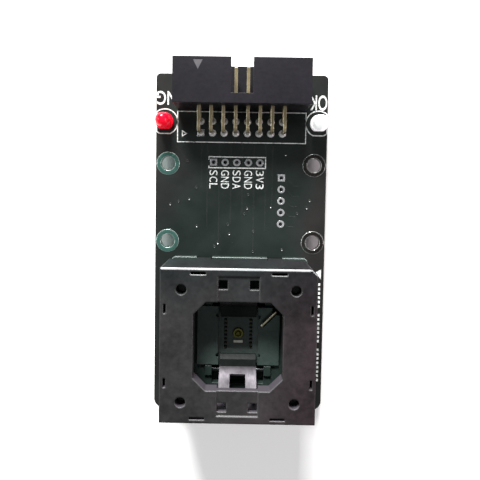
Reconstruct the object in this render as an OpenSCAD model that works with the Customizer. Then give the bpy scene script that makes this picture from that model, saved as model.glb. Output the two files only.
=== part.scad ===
// Open-top zero-insertion-force test socket on an adapter board.
// A right-angle box header and two lamps stand at one end of the board, the socket at the other.
// The frame's origin is the middle of the four screw holes, on the board's underside. +Y points
// to the header, +Z away from the board. Pressing the cover down swings both latches open.

/* [Board] */
// Width of the board
board_w = 37.4; // [37.4:0.1:42]
// Length of the board
board_l = 74.2; // [73.6:0.1:84]
// Thickness of the board
board_t = 1.6; // [1.2:0.1:2.4]
// Radius of the board's corners at the header end
board_r = 1; // [0.4:0.1:2]
// Radius of the board's corners at the socket end
board_end_r = 2; // [0.4:0.1:3]
// Distance from the header end of the board to the middle of the screw holes
hole_setback = 28; // [27.5:0.1:32]
// Screw hole spacing across the board
hole_dx = 32; // [31:0.1:32.4]
// Screw hole spacing along the board
hole_dy = 17; // [14:0.1:17.6]
// Screw hole diameter
hole_d = 3.2; // [2.2:0.1:3.4]
// Diameter of the plain holes that take a 2.54 mm pin strip
strip_hole_d = 0.9; // [0.7:0.05:1.1]
// Number of holes in each pin strip footprint
strip_count = 5; // [3:1:5]
// Distance between two holes of a pin strip
strip_pitch = 2.54; // [2:0.01:3]

/* [Box header] */
// Distance between neighbouring header pins
pitch = 2.54; // [2:0.01:2.54]
// Header pins in each row
header_cols = 8; // [4:1:8]
// Distance from the last pin to the end of the housing
header_end = 5.08; // [4.5:0.01:5.1]
// Height of the housing
header_h = 9; // [8.4:0.1:10]
// Length of the housing from front to back
header_len = 9.1; // [8.6:0.1:10]
// Thickness of the housing's walls
header_wall = 1.2; // [0.8:0.1:1.4]
// Thickness of the housing's back
header_back = 2; // [1.4:0.1:2.4]
// Distance that the housing stands out past the board
header_over = 1.4; // [0.8:0.1:2]
// Width of the key slot
key_w = 4.5; // [3:0.1:5]
// Width of a square header pin
pin_w = 0.64; // [0.5:0.02:0.68]
// Length of a header pin inside the housing
pin_reach = 5.7; // [4:0.1:6]
// Height of the lower pin row above the board
pin_z = 3.2; // [2.6:0.1:3.4]
// Distance from the housing's back to the nearer row of board holes
pin_back = 2.5; // [2.2:0.1:3]
// Inner radius of a header pin's bend
pin_bend = 0.5; // [0.3:0.1:0.8]
// Diameter of the board holes for header pins
pin_hole_d = 1.05; // [1:0.05:1.2]
// Length of a pin tail below the board
tail_out = 1.5; // [1:0.1:2]

/* [Lamps] */
// Distance of each lamp from the board's long edge
led_inset = 1.95; // [1.95:0.05:2.3]
// Distance of the lamps from the header end of the board
led_setback = 10.45; // [9:0.05:11]
// Diameter of a lamp's dome
led_d = 3; // [2.6:0.1:3.2]
// Diameter of a lamp's flange
led_flange_d = 3.8; // [3.6:0.1:4]
// Height of a lamp's flange
led_flange_h = 1; // [0.6:0.1:1.4]
// Height of a lamp
led_h = 5.3; // [4.6:0.1:6.5]
// Width of a lamp's square lead
led_lead = 0.5; // [0.4:0.05:0.6]

/* [Socket] */
// Width and length of the socket
socket_w = 29.6; // [29.2:0.1:31]
// Height of the socket above the board, cover up
socket_h = 16.5; // [16.5:0.1:18]
// Distance from the middle of the screw holes to the middle of the socket
socket_setback = 26.55; // [26.3:0.05:28]
// Radius of the base's corners
socket_r = 1; // [0.4:0.1:1.6]
// Travel of the cover
stroke = 2.5; // [1.5:0.1:2.5]
// Thickness of the cover's top
cover_t = 1.8; // [1.7:0.1:2.2]
// Thickness of the cover's outer wall
skirt_t = 1.2; // [1.1:0.05:1.3]
// Depth of the rim that hangs round the cover's opening
collar_h = 1.2; // [0.6:0.1:1.4]
// Width of the cover's eight-sided opening
opening_w = 17; // [16.6:0.1:17.4]
// Length of the opening's corner cuts
opening_cut = 2.4; // [1.8:0.1:2.6]
// Height of the base's foot
foot_h = 2; // [1.6:0.1:2.2]
// Height of the base's core
core_h = 9; // [8.8:0.1:9.2]
// Free play between parts that slide past each other
slide_gap = 0.2; // [0.15:0.01:0.3]

/* [Cover posts and springs] */
// Distance of each post from the socket's sides
post_inset = 4; // [3.95:0.05:4.3]
// Diameter of a post
post_d = 1.9; // [1.5:0.05:1.95]
// Radial running clearance of pins and posts
run_gap = 0.05; // [0.03:0.01:0.08]
// Wall of the sleeve that runs on a post
sleeve_t = 0.5; // [0.4:0.05:0.55]
// Wire diameter of a cover spring
spring_wire = 0.4; // [0.3:0.05:0.45]
// Turns of a cover spring
spring_turns = 7; // [5:1:8]

/* [Latches] */
// Width of a latch
latch_w = 7.4; // [6.6:0.1:7.6]
// Thickness of a latch lever
latch_t = 0.6; // [0.5:0.05:0.7]
// Lean of a latch lever away from upright, in degrees
latch_lean = 32; // [30:1:34]
// Opening angle of a latch, in degrees
latch_swing = 40; // [30:1:42]
// Width of the slot between a lever's two prongs
latch_slot_w = 3.1; // [2.6:0.1:3.6]
// Height of a lever's cross bar along the lever
latch_bar = 3.1; // [2.8:0.1:3.4]
// Distance of a latch's pin from the middle of the socket
hinge_at = 7.3; // [7.2:0.05:7.5]
// Height of a latch's pin above the board
hinge_z = 8.5; // [8.4:0.05:8.6]
// Diameter of a latch's pin
hinge_d = 1; // [0.8:0.05:1.1]
// Distance from the middle of the socket to a latch's nose
nose_at = 3.8; // [3.6:0.05:4]
// Wire diameter of a latch spring
latch_wire = 0.3; // [0.2:0.05:0.35]
// Turns of a latch spring
latch_spring_turns = 4; // [3:1:5]

/* [Nest and contacts] */
// Width of the package that the nest takes
package_w = 8; // [7.6:0.1:8.2]
// Thickness of the package
package_t = 0.9; // [0.7:0.05:1.1]
// Free play round the package
package_gap = 0.1; // [0.05:0.01:0.15]
// Thickness of the contact guide
guide_t = 1; // [0.8:0.05:1.2]
// Thickness of the nest
nest_t = 1.6; // [1.4:0.05:1.8]
// Width of the nest
nest_w = 16.6; // [16.2:0.1:16.8]
// Length of the nest
nest_l = 12; // [11.6:0.1:12]
// Contacts on each side of the package
contact_count = 8; // [4:1:8]
// Distance between neighbouring contacts
contact_pitch = 0.8; // [0.7:0.01:0.8]
// Distance of the contact rows from the middle
contact_x = 2.6; // [2.1:0.05:2.7]
// Thickness of a contact
contact_t = 0.25; // [0.2:0.01:0.3]
// Diameter of the middle contact's head
centre_d = 2.2; // [1.8:0.1:2.4]
// Diameter of the bias wire
bias_d = 0.6; // [0.4:0.05:0.65]
// Travel of the bias wire
bias_travel = 0.4; // [0.2:0.05:0.5]

/* [Hidden] */
$fn = 48;
eps = 0.01;

// Board
board_end_y = hole_setback;
strip_x = -0.95;
strip_setback = 19.1;
strip_y = board_end_y - strip_setback;
side_strip_x = 8.9;
side_strip_setback = 27.4;
side_strip_y = board_end_y - side_strip_setback;

// Box header
header_w = (header_cols - 1) * pitch + 2 * header_end;
header_front_y = board_end_y + header_over;
header_back_y = header_front_y - header_len;
header_floor_y = header_back_y + header_back;
pin_tip_y = header_floor_y + pin_reach;
near_row_y = header_back_y - pin_back;
far_row_y = near_row_y - pitch;
pin_fit = 0.02;
mark_side = 2;
mark_depth = 0.2;

// Lamps
led_x = board_w / 2 - led_inset;
led_y = board_end_y - led_setback;
led_pitch = 2.54;
led_hole_d = led_lead * 1.414 + 0.15;
led_dome_r = led_d / 2;
led_flat = led_flange_d / 2 - 0.3;
led_post_h = 2.1;

// Socket levels above the board's top face
cover_under = socket_h - cover_t;
collar_under = cover_under - collar_h;
skirt_under = foot_h + stroke + 0.5;
guide_z = 7;
nest_z = guide_z + guide_t;
nest_top = nest_z + nest_t;
package_top = nest_z + package_t;
seat_gap = 0.1;
well_z = 2.6;

// Socket plan
opening_half = opening_w / 2;
skirt_in = socket_w / 2 - skirt_t;
core_w = 2 * (skirt_in - slide_gap);
cover_cut = 1.1;
panel_depth = 0.25;
panel_half = latch_w / 2 + 0.25;
track_half = panel_half;
window_w = 1.75;
window_x = 2.95;
window_at = 11.75;

// Snap hooks
hook_wall = 0.65;
hook_nose = 0.8;
hook_z = 2.6;
hook_reach = 12.9;
hook_in = socket_w / 2 - hook_wall;
hook_list = [[0, 7.65, 2.9], [90, 7.1, 1.8], [180, 7.65, 2.9], [270, 7.1, 1.8]];

// Cover posts and springs
post_at = socket_w / 2 - post_inset;
post_top = cover_under - 0.9;
post_bore_d = post_d + 2 * run_gap;
sleeve_d = post_bore_d + 2 * sleeve_t;
sleeve_h = 3;
cover_spring_r = sleeve_d / 2 + 0.15 + spring_wire / 2;
well_d = 2 * cover_spring_r + spring_wire + 0.4;

// Latches, as distance from the middle of the socket and height
nose_clear = 0.08;
nose_t = 1.02;
nose_slant = 0.9;
nose_heel = 0.4;
nose_under = package_top + nose_clear;
nose_top = nose_under + nose_t;
lever_foot_back = 1.84;
nose_lap = 0.08;
lever_foot = [hinge_at - lever_foot_back, nose_under - nose_lap];
lever_len = (cover_under - 0.15 - lever_foot[1]) / cos(latch_lean);
// The prongs' tips, as seen from the pin, and how far they swing out and up into the cover
tip_arm = lever_foot - [hinge_at, hinge_z] + lever_len * [sin(latch_lean), cos(latch_lean)];
tip_turn = atan2(tip_arm[0], tip_arm[1]);
tip_rises = [for (t = [0 : 0.05 : 1]) norm(tip_arm) * cos(tip_turn + t * latch_swing) + t * stroke];
track_roof = hinge_z + max(tip_rises) + 0.1;
track_end = hinge_at + norm(tip_arm) * sin(tip_turn + latch_swing) + 0.7;
ear_t = 0.6;
ear_r = hinge_d / 2 + 0.6;
tower_in = 5.3;
tower_t = 1.4;
tower_half = hinge_d / 2 + 0.5;
bay_floor = hinge_z - ear_r - 0.5;
bay_end = 10;
hinge_bore_d = hinge_d + 2 * run_gap;
latch_spring_r = hinge_d / 2 + 0.15 + latch_wire / 2;
latch_spring_w = latch_spring_turns * (latch_wire + 0.1);

// Nest and contacts
pocket_w = package_w + 2 * package_gap;
relief_r = 0.45;
channel_z = nest_z + 0.6;
pad_h = 0.8;
contact_w = 0.3;
contact_rise = 0.25;
tail_w = 0.35;
tail_in = 3.4;
tail_outer = 4.9;
tail_hole_d = 0.6;
cavity_w = 12;
cavity_l = contact_count * contact_pitch + 0.8;
stopper_t = 1.2;
stopper_z = 0.3;
stem_r = 0.22;
stem_z = 2;
barrel_r = 0.6;
peg_x = 11.8;
peg_d = 1.5;
peg_h = 1.3;
header_solder_d = 1.7;
led_solder_d = 1.5;
collar_wall = 1;
collar_cut = 0.6;
pad_slant_x = 1.6;
pad_slant_y = 1.2;
blade_y = -1.75;
blade_w = 1.9;
blade_t = 0.5;
blade_stem_half = 0.2;
blade_stem_z = 2;
blade_neck_z = 2.6;
bias_corner = [3.55, 3.75];
bias_tip = [nest_w / 2, nest_l / 2] - bias_corner;
bias_reach = 4.35;
bias_len = bias_reach - bias_travel;
bias_z = nest_top + bias_d / 2 + 0.05;
corner_cut = 1.5;

// Places that follow from the sizes above
function row(n, step) = [for (i = [0 : n - 1]) (i - (n - 1) / 2) * step];
header_xs = row(header_cols, pitch);
strip_steps = row(strip_count, strip_pitch);
contact_ys = row(contact_count, contact_pitch);
function tail_x(i) = i % 2 == 0 ? tail_in : tail_outer;

// ---- Plan shapes and small helpers ----

module prism(z0, z1) {
    translate([0, 0, z0]) linear_extrude(z1 - z0) children();
}

module round_rect(w, l, r) {
    square([w - 2 * r, l], center = true);
    square([w, l - 2 * r], center = true);
    for (x = [-1, 1]) {
        for (y = [-1, 1]) {
            translate([x * (w / 2 - r), y * (l / 2 - r)]) circle(r);
        }
    }
}

module cut_square(w, cut) {
    h = w / 2;
    polygon([[h - cut, h], [cut - h, h], [-h, h - cut], [-h, cut - h],
        [cut - h, -h], [h - cut, -h], [h, cut - h], [h, h - cut]]);
}

module block(x0, x1, y0, y1, z0, z1) {
    translate([x0, y0, z0]) cube([x1 - x0, y1 - y0, z1 - z0]);
}

// A bar that lies along X, through the point [y, z]
module rod_x(d, x0, x1, y, z) {
    translate([x0, y, z]) rotate([0, 90, 0]) cylinder(d = d, h = x1 - x0);
}

// Directions across a line of points, for a strip of even width along it
function unit(v) = v / norm(v);
function side(v) = [-v[1], v[0]];
function across(p, i) = side(unit(p[min(i + 1, len(p) - 1)] - p[max(i - 1, 0)]));
function strip_edge(p, half) = [for (i = [0 : len(p) - 1]) p[i] + across(p, i) * half];
module strip(p, w) {
    back = strip_edge(p, -w / 2);
    polygon(concat(strip_edge(p, w / 2), [for (i = [len(p) - 1 : -1 : 0]) back[i]]));
}

// A wire of radius r swept along the points p, with a six-sided section
wire_sides = 6;
function ahead(p, i) = unit(p[min(i + 1, len(p) - 1)] - p[max(i - 1, 0)]);
function ring(c, t, ref, r) =
    let (u = unit(cross(t, ref)), v = cross(t, u))
    [for (k = [0 : wire_sides - 1]) let (a = k * 360 / wire_sides) c + r * (cos(a) * u + sin(a) * v)];
module wire(p, r, ref) {
    n = len(p);
    s = wire_sides;
    points = [for (i = [0 : n - 1]) each ring(p[i], ahead(p, i), ref, r)];
    walls = [for (i = [0 : n - 2], k = [0 : s - 1]) let (a = i * s + k, b = i * s + (k + 1) % s)
        each [[a, a + s, b + s], [a, b + s, b]]];
    caps = [[for (k = [0 : s - 1]) k], [for (k = [s - 1 : -1 : 0]) (n - 1) * s + k]];
    polyhedron(points, concat(walls, caps));
}

module in_socket() {
    translate([0, -socket_setback, board_t]) children();
}

// The far half of the socket is the near half turned round its middle
module on_side(outer) {
    in_socket() rotate([0, 0, outer ? 180 : 0]) children();
}

// ---- Board ----

module circuit_board() {
    color([0.13, 0.17, 0.16]) difference() {
        prism(0, board_t) board_outline();
        translate([0, 0, -eps]) linear_extrude(board_t + 2 * eps) board_holes();
    }
}

module board_outline() {
    half = board_w / 2;
    low = board_end_y - board_l;
    translate([board_r - half, low + board_end_r]) square([board_w - 2 * board_r, board_l - board_end_r]);
    translate([-half, low + board_end_r]) square([board_w, board_l - board_end_r - board_r]);
    translate([board_end_r - half, low]) square([board_w - 2 * board_end_r, board_l - board_end_r]);
    for (x = [-1, 1]) {
        translate([x * (half - board_r), board_end_y - board_r]) circle(board_r);
        translate([x * (half - board_end_r), low + board_end_r]) circle(board_end_r);
    }
}

module board_holes() {
    for (x = [-1, 1]) {
        for (y = [-1, 1]) {
            translate([x * hole_dx / 2, y * hole_dy / 2]) circle(d = hole_d);
        }
    }
    for (x = header_xs) {
        translate([x, near_row_y]) circle(d = pin_hole_d);
        translate([x, far_row_y]) circle(d = pin_hole_d);
    }
    for (t = strip_steps) {
        translate([strip_x + t, strip_y]) circle(d = strip_hole_d);
        translate([side_strip_x, side_strip_y + t]) circle(d = strip_hole_d);
    }
    for (x = [-1, 1]) {
        for (y = [-1, 1]) {
            translate([x * led_x, led_y + y * led_pitch / 2]) circle(d = led_hole_d);
        }
    }
    translate([0, -socket_setback]) {
        tail_places() circle(d = tail_hole_d, $fn = 24);
        circle(d = tail_hole_d, $fn = 24);
        translate([0, blade_y]) circle(d = tail_hole_d, $fn = 24);
        for (x = [-1, 1]) {
            translate([x * peg_x, 0]) circle(d = peg_d + 2 * run_gap);
        }
    }
}

// Where the tails of the two contact rows meet the board
module tail_places() {
    for (s = [-1, 1]) {
        for (i = [0 : contact_count - 1]) {
            translate([s * tail_x(i), contact_ys[i]]) children();
        }
    }
}

// ---- Box header ----

module header_housing() {
    wall = header_wall;
    top = board_t + header_h;
    slot = pin_w / 2 + pin_fit;
    color([0.17, 0.16, 0.19]) difference() {
        block(-header_w / 2, header_w / 2, header_back_y, header_front_y, board_t, top);
        block(wall - header_w / 2, header_w / 2 - wall, header_floor_y, header_front_y + eps,
            board_t + wall, top - wall);
        block(-key_w / 2, key_w / 2, header_floor_y, header_front_y + eps, top - wall - eps, top + eps);
        for (x = header_xs) {
            for (z = [pin_z, pin_z + pitch]) {
                translate([x, 0, board_t + z])
                    block(-slot, slot, header_back_y - eps, header_floor_y + eps, -slot, slot);
            }
        }
        translate([header_xs[0], header_front_y - 0.6, 0]) prism(top - mark_depth, top + eps)
            polygon([[-mark_side / 2, 0], [0, -mark_side], [mark_side / 2, 0]]);
    }
}

// A header pin's middle line as [y, z]: along the housing, round the bend and down
function pin_line(y, z) = let (r = pin_bend + pin_w / 2)
    concat([[pin_tip_y, z]], [for (a = [0 : 15 : 90]) [y + r - r * sin(a), z - r + r * cos(a)]],
        [[y, -tail_out]]);

module header_pin_row(y, z) {
    color([0.82, 0.7, 0.42]) for (x = header_xs) {
        translate([x - pin_w / 2, 0, 0]) rotate([90, 0, 90]) linear_extrude(pin_w)
            strip(pin_line(y, board_t + z), pin_w);
    }
}

module header_pins_upper() {
    header_pin_row(far_row_y, pin_z + pitch);
}

module header_pins_lower() {
    header_pin_row(near_row_y, pin_z);
}

// A cone of solder on the board's underside, round a square or round tail
module solder_cone(base_d, tail_half, round_tail) {
    h = 0.7;
    color([0.75, 0.76, 0.78]) translate([0, 0, -h]) difference() {
        cylinder(d1 = 2 * tail_half + 0.35, d2 = base_d, h = h);
        if (round_tail) {
            translate([0, 0, -eps]) cylinder(r = tail_half, h = h + 2 * eps);
        } else {
            translate([-tail_half, -tail_half, -eps]) cube([2 * tail_half, 2 * tail_half, h + 2 * eps]);
        }
    }
}

module header_solder() {
    for (x = header_xs) {
        for (y = [near_row_y, far_row_y]) {
            translate([x, y, 0]) solder_cone(header_solder_d, pin_w / 2, false);
        }
    }
}

// ---- Lamps ----

module led_lead_pair() {
    h = led_lead / 2;
    for (y = [-1, 1]) {
        translate([0, y * led_pitch / 2, 0]) block(-h, h, -h, h, -tail_out, board_t + 0.2);
    }
    // The leads close in to two posts inside the dome, one with a cup
    block(-h, h, -led_pitch / 2 - h, -0.2, board_t + 0.2, board_t + 0.6);
    block(-h, h, 0.2, led_pitch / 2 + h, board_t + 0.2, board_t + 0.6);
    block(-h, h, -0.6, -0.2, board_t + 0.6, board_t + led_post_h);
    block(-h, h, 0.2, 0.6, board_t + 0.6, board_t + led_post_h - 0.3);
    translate([0, -0.45, board_t + led_post_h]) cylinder(d1 = 0.5, d2 = 0.75, h = 0.4);
}

module led_lens_body() {
    dome_z = led_h - led_dome_r - 0.2;
    translate([0, 0, board_t + 0.2]) {
        difference() {
            cylinder(d = led_flange_d, h = led_flange_h);
            block(-led_flange_d, led_flange_d, -led_flange_d, -led_flat, -eps, led_flange_h + eps);
        }
        cylinder(r = led_dome_r, h = dome_z);
        translate([0, 0, dome_z]) sphere(led_dome_r);
    }
}

module led_lens(tint) {
    color(tint) difference() {
        led_lens_body();
        led_lead_pair();
    }
}

module red_led_lens() {
    translate([-led_x, led_y, 0]) led_lens([0.9, 0.1, 0.15]);
}

module clear_led_lens() {
    translate([led_x, led_y, 0]) led_lens([0.9, 0.92, 0.94]);
}

module red_led_leads() {
    translate([-led_x, led_y, 0]) color([0.75, 0.75, 0.77]) led_lead_pair();
}

module clear_led_leads() {
    translate([led_x, led_y, 0]) color([0.75, 0.75, 0.77]) led_lead_pair();
}

module led_solder() {
    for (x = [-1, 1]) {
        for (y = [-1, 1]) {
            translate([x * led_x, led_y + y * led_pitch / 2, 0])
                solder_cone(led_solder_d, led_lead / 2, false);
        }
    }
}

// ---- Socket base and what it holds ----

module each_hook() {
    for (h = hook_list) {
        for (s = [-1, 1]) {
            rotate([0, 0, h[0]]) translate([s * h[1], 0, 0]) hook_cut(h[2]) children();
        }
    }
}

module hook_cut(w) {
    $hook_half = w / 2;
    children();
}

module each_post() {
    for (x = [-1, 1]) {
        for (y = [-1, 1]) {
            translate([x * post_at, y * post_at, 0]) children();
        }
    }
}

module base_body() {
    difference() {
        union() {
            prism(0, foot_h) round_rect(socket_w, socket_w, socket_r);
            prism(foot_h - eps, core_h) square(core_w, center = true);
        }
        // Grooves that the cover's hooks run in, each closed above by a ledge
        each_hook() block(-$hook_half - slide_gap, $hook_half + slide_gap, hook_reach - seat_gap,
            socket_w, -eps, hook_z + hook_nose + 0.05);
        each_post() prism(well_z, core_h + eps) circle(d = well_d);
        // Seat of the nest and guide, the room for the contacts, and the stopper's seat
        block(-nest_w / 2 - seat_gap, nest_w / 2 + seat_gap, -nest_l / 2 - seat_gap, nest_l / 2 + seat_gap,
            guide_z, core_h + eps);
        block(-cavity_w / 2, cavity_w / 2, -cavity_l / 2, cavity_l / 2, -eps, guide_z + eps);
        block(-cavity_w / 2 - 0.6, cavity_w / 2 + 0.6, -cavity_l / 2 - 0.6, cavity_l / 2 + 0.6,
            -eps, stopper_z + stopper_t);
        for (a = [0, 180]) {
            rotate([0, 0, a]) block(-tower_in, tower_in, nest_l / 2, bay_end, bay_floor, core_h + eps);
        }
    }
}

module tower_pair() {
    for (x = [-1, 1]) {
        translate([x * (tower_in + tower_t / 2), 0, 0])
            block(-tower_t / 2, tower_t / 2, hinge_at - tower_half, hinge_at + tower_half,
                core_h - eps, hinge_z + tower_half);
    }
}

module socket_base() {
    color([0.15, 0.18, 0.17]) in_socket() {
        difference() {
            union() {
                base_body();
                for (a = [0, 180]) {
                    rotate([0, 0, a]) tower_pair();
                }
            }
            for (a = [0, 180]) {
                rotate([0, 0, a]) rod_x(hinge_bore_d, -tower_in - tower_t - seat_gap,
                    tower_in + tower_t + seat_gap, hinge_at, hinge_z);
            }
        }
        each_post() prism(well_z - eps, post_top) circle(d = post_d);
        for (x = [-1, 1]) {
            translate([x * peg_x, 0, 0]) prism(-peg_h, eps) circle(d = peg_d);
        }
    }
}

module lead_stopper() {
    w = cavity_w + 1.2 - 2 * seat_gap;
    l = cavity_l + 1.2 - 2 * seat_gap;
    color([0.2, 0.2, 0.21]) in_socket() prism(stopper_z, stopper_z + stopper_t) difference() {
        square([w, l], center = true);
        tail_places() square([tail_w + 0.1, contact_t + 0.1], center = true);
        circle(d = 0.5, $fn = 24);
        translate([0, blade_y]) square([0.5, blade_t + 0.1], center = true);
    }
}

// The corner nearest the bias wire is cut away for its tail
module nest_outline() {
    difference() {
        square([nest_w, nest_l], center = true);
        translate([nest_w / 2 - corner_cut, nest_l / 2 - corner_cut]) square(corner_cut + 1);
    }
}

module contact_guide() {
    slot_l = contact_t + 0.15;
    color([0.16, 0.18, 0.17]) in_socket() difference() {
        prism(guide_z, nest_z) nest_outline();
        // Shallow well between the contact rows
        block(-contact_x + 0.25, contact_x - 0.25, -cavity_l / 2 + 0.35, cavity_l / 2 - 0.35,
            nest_z - 0.4, nest_z + eps);
        for (s = [-1, 1]) {
            translate([s * contact_x, 0, 0]) {
                block(-0.3, 0.3, -cavity_l / 2 + 0.4, cavity_l / 2 - 0.4, nest_z - 0.3, nest_z + eps);
                for (y = contact_ys) {
                    translate([0, y, 0]) block(-0.3, 0.3, -slot_l / 2, slot_l / 2, guide_z - eps, nest_z);
                }
            }
        }
        prism(guide_z - eps, nest_z) circle(d = centre_d + 0.1);
        translate([0, blade_y, 0]) block(-blade_w / 2 - 0.05, blade_w / 2 + 0.05,
            -blade_t / 2 - 0.05, blade_t / 2 + 0.05, guide_z - eps, nest_z);
    }
}

module package_nest() {
    half = pocket_w / 2;
    color([0.14, 0.17, 0.16]) in_socket() difference() {
        union() {
            prism(nest_z, nest_top) nest_outline();
            prism(nest_top - eps, nest_top + pad_h) bias_pad();
        }
        prism(nest_z - eps, nest_top + pad_h + eps) {
            square(pocket_w, center = true);
            for (x = [-1, 1]) {
                for (y = [-1, 1]) {
                    translate([x * half, y * half]) circle(relief_r);
                }
            }
        }
        // Channels for the latch noses
        for (y = [-1, 1]) {
            translate([0, y * nest_l / 2, 0]) block(-panel_half, panel_half, -nest_l / 2, nest_l / 2,
                channel_z, nest_top + 2 * pad_h);
        }
        // Groove that the bias wire slides in
        translate([bias_tip[0], bias_tip[1], 0]) rotate([0, 0, 45])
            block(-bias_reach / 2, 2 * bias_reach, -bias_d / 2 - 0.15, bias_d / 2 + 0.55,
                nest_top, nest_top + 2 * pad_h);
    }
}

// Raised corner of the nest on both sides of the bias wire
module bias_pad() {
    x1 = nest_w / 2;
    y1 = nest_l / 2;
    c = corner_cut;
    x0 = panel_half;
    y0 = bias_tip[1] - 0.85;
    polygon([[x0, y0 + pad_slant_y], [x0, y1], [x1 - c, y1], [x1 - c, y1 - c], [x1, y1 - c],
        [x1, y0], [x0 + pad_slant_x, y0]]);
}

// A contact's middle line as [x, z]: straight up from the board, bowed, and straight to its tip
function contact_line(tail, side_x) = [[tail, -board_t - tail_out], [tail, 2.3], [tail + 0.5, 3.3],
    [tail + 0.55, 4.2], [side_x + 0.4, 5.6], [side_x, 6.6], [side_x, nest_z + contact_rise]];

module contact_side(s) {
    color([0.85, 0.72, 0.4]) in_socket() for (i = [0 : contact_count - 1]) {
        translate([0, contact_ys[i] + contact_t / 2, 0]) rotate([90, 0, 0]) linear_extrude(contact_t)
            mirror([s < 0 ? 1 : 0, 0]) strip(contact_line(tail_x(i), contact_x), contact_w);
    }
}

module signal_contacts_left() {
    contact_side(-1);
}

module signal_contacts_right() {
    contact_side(1);
}

// Hollow gold head on a stem that runs down to the board
module centre_contact() {
    r = centre_d / 2;
    top = nest_z + 0.1;
    neck = guide_z - 1;
    color([0.85, 0.72, 0.3]) in_socket() rotate_extrude()
        polygon([[0, -board_t - tail_out], [stem_r, -board_t - tail_out], [stem_r, stem_z],
            [barrel_r, stem_z + 0.4], [barrel_r, neck],
            [r, guide_z], [r, top - 0.15], [r - 0.15, top], [r - 0.4, top], [r - 0.5, top - 0.6],
            [0, top - 0.9]]);
}

module ground_blade() {
    half = blade_w / 2;
    stem = blade_stem_half;
    blade_top = nest_z - 0.2;
    color([0.8, 0.78, 0.74]) in_socket() translate([0, blade_y + blade_t / 2, 0]) rotate([90, 0, 0])
        linear_extrude(blade_t) polygon([[-stem, -board_t - tail_out], [stem, -board_t - tail_out],
            [stem, blade_stem_z], [half, blade_neck_z], [half, blade_top], [-half, blade_top],
            [-half, blade_neck_z], [-stem, blade_stem_z]]);
}

module socket_solder() {
    translate([0, -socket_setback, 0]) color([0.75, 0.76, 0.78]) {
        tail_places() solder_flat_cone(contact_w, contact_t);
        translate([0, blade_y, 0]) solder_flat_cone(0.4, blade_t);
        solder_cone(1.0, stem_r, true);
    }
}

// A cone of solder round a flat tail
module solder_flat_cone(w, t) {
    h = 0.6;
    translate([0, 0, -h]) difference() {
        cylinder(d1 = 0.65, d2 = 1.05, h = h);
        translate([-w / 2, -t / 2, -eps]) cube([w, t, h + 2 * eps]);
    }
}

// ---- Cover and its springs ----

module cover_outline() {
    h = socket_w / 2;
    c = cover_cut;
    polygon([[-h, -h], [h, -h], [h, h - c], [h - c, h], [-h, h]]);
}

module socket_cover() {
    h = socket_w / 2;
    color([0.2, 0.19, 0.2]) in_socket() difference() {
        union() {
            prism(cover_under, socket_h) cover_outline();
            prism(skirt_under, cover_under + eps) difference() {
                cover_outline();
                square(2 * skirt_in, center = true);
            }
            prism(collar_under, cover_under + eps)
                cut_square(opening_w + 2 * collar_wall, opening_cut + collar_cut);
            each_post() prism(cover_under - sleeve_h, cover_under + eps) circle(d = sleeve_d);
            each_hook() hook_leg();
        }
        prism(collar_under - eps, socket_h + eps) cut_square(opening_w, opening_cut);
        each_post() prism(cover_under - sleeve_h - eps, socket_h + eps) circle(d = post_bore_d);
        // Slots above the hooks
        each_hook() block(-$hook_half, $hook_half, hook_in - 0.5, hook_in, hook_z + hook_nose,
            socket_h + eps);
        for (a = [0, 180]) {
            rotate([0, 0, a]) {
                // Track that the prongs slide along, with its two windows and the sunk panel
                block(-track_half, track_half, opening_half - 0.2, track_end, collar_under - eps,
                    track_roof);
                block(-panel_half, panel_half, opening_half - 0.2, h - 1.4, socket_h - panel_depth,
                    socket_h + eps);
                for (x = [-1, 1]) {
                    translate([x * window_x, window_at, cover_under - eps])
                        linear_extrude(cover_t + 2 * eps) square(window_w, center = true);
                }
            }
        }
    }
}

module hook_leg() {
    block(-$hook_half, $hook_half, hook_in, socket_w / 2, hook_z, skirt_under + eps);
    block(-$hook_half, $hook_half, hook_reach, hook_in + eps, hook_z, hook_z + hook_nose);
}

// A coil's middle line: n turns of radius r from height z0 to z1, with one flat turn at each end
coil_steps = 12;
function coil_rise(t, n) = t < 1 ? 0 : t > n - 1 ? 1 : (t - 1) / (n - 2);
function coil(r, z0, z1, n, dead) = [for (i = [0 : n * coil_steps])
    let (t = i / coil_steps, a = 360 * t, lift = dead * min(t, 1) + dead * max(0, t - n + 1))
    [r * cos(a), r * sin(a), z0 + lift + (z1 - z0 - 2 * dead) * coil_rise(t, n)]];

module cover_spring(x, y) {
    color([0.7, 0.7, 0.72]) in_socket() translate([x * post_at, y * post_at, 0])
        wire(coil(cover_spring_r, well_z + spring_wire / 2 + 0.02, cover_under - spring_wire / 2 - 0.02,
            spring_turns, spring_wire + 0.05), spring_wire / 2, [0, 0, 1]);
}

module cover_spring_inner_left() {
    cover_spring(-1, 1);
}

module cover_spring_inner_right() {
    cover_spring(1, 1);
}

module cover_spring_outer_left() {
    cover_spring(-1, -1);
}

module cover_spring_outer_right() {
    cover_spring(1, -1);
}

// ---- Latches ----

// A side outline of [distance from the middle, height] points, pushed along X
module along_x(x, w) {
    translate([x, 0, 0]) rotate([90, 0, 90]) linear_extrude(w) children();
}

// The lever's inner face at height z, and the directions up the slope and out of it
lever_up = [sin(latch_lean), cos(latch_lean)];
lever_out = [cos(latch_lean), -sin(latch_lean)];
function on_face(z) = lever_foot + lever_up * (z - lever_foot[1]) / cos(latch_lean);

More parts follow.
